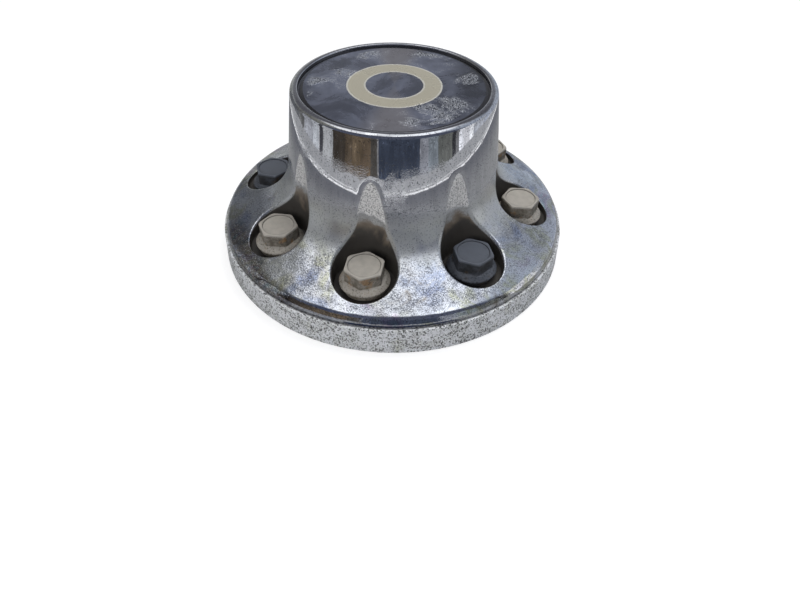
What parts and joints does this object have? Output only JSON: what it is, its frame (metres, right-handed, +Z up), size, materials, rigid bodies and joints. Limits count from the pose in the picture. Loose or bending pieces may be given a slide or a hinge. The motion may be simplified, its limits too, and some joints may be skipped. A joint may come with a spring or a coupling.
{
  "type": "wheel center cap",
  "caption": "Chrome-plated truck wheel center cap: a tall hub rising from a domed flange with wells for captive screw-on lug nut covers, open underneath.",
  "frame": {"origin": "centre of the rim's seat, on the plane that the cap stands on", "axes": "+Z up the cap's axis towards the disc; the first lug position is on -Y"},
  "size_m": [0.2258, 0.2258, 0.1045],
  "materials": {
    "plated_shell": "chrome plating on moulded plastic, pitted and stained",
    "disc_lacquer": "dark lacquer, crazed and blistered",
    "cover_grey": "satin grey, worn",
    "cover_dark": "satin dark grey"
  },
  "bodies": {
    "cap": {"cap_shell": "plated_shell", "emblem_disc": "disc_lacquer"},
    "lug_cover_1": {"nut_cap_1": "cover_grey"},
    "lug_cover_2": {"nut_cap_2": "cover_dark"},
    "lug_cover_3": {"nut_cap_3": "cover_grey"},
    "lug_cover_4": {"nut_cap_4": "cover_grey"},
    "lug_cover_5": {"nut_cap_5": "cover_grey"},
    "lug_cover_6": {"nut_cap_6": "cover_grey"},
    "lug_cover_7": {"nut_cap_7": "cover_dark"},
    "lug_cover_8": {"nut_cap_8": "cover_grey"}
  },
  "joints": [
    {"name": "lug_cover_1_turn", "type": "hinge", "parent": "cap", "child": "lug_cover_1", "pos_m": [0, -0.08255, 0.0225], "axis": [0, 0, 1], "continuous": true},
    {"name": "lug_cover_2_turn", "type": "hinge", "parent": "cap", "child": "lug_cover_2", "pos_m": [0.05837, -0.05837, 0.0225], "axis": [0, 0, 1], "continuous": true},
    {"name": "lug_cover_3_turn", "type": "hinge", "parent": "cap", "child": "lug_cover_3", "pos_m": [0.08255, 0, 0.0225], "axis": [0, 0, 1], "continuous": true},
    {"name": "lug_cover_4_turn", "type": "hinge", "parent": "cap", "child": "lug_cover_4", "pos_m": [0.05837, 0.05837, 0.0225], "axis": [0, 0, 1], "continuous": true},
    {"name": "lug_cover_5_turn", "type": "hinge", "parent": "cap", "child": "lug_cover_5", "pos_m": [0, 0.08255, 0.0225], "axis": [0, 0, 1], "continuous": true},
    {"name": "lug_cover_6_turn", "type": "hinge", "parent": "cap", "child": "lug_cover_6", "pos_m": [-0.05837, 0.05837, 0.0225], "axis": [0, 0, 1], "continuous": true},
    {"name": "lug_cover_7_turn", "type": "hinge", "parent": "cap", "child": "lug_cover_7", "pos_m": [-0.08255, 0, 0.0225], "axis": [0, 0, 1], "continuous": true},
    {"name": "lug_cover_8_turn", "type": "hinge", "parent": "cap", "child": "lug_cover_8", "pos_m": [-0.05837, -0.05837, 0.0225], "axis": [0, 0, 1], "continuous": true}
  ]
}
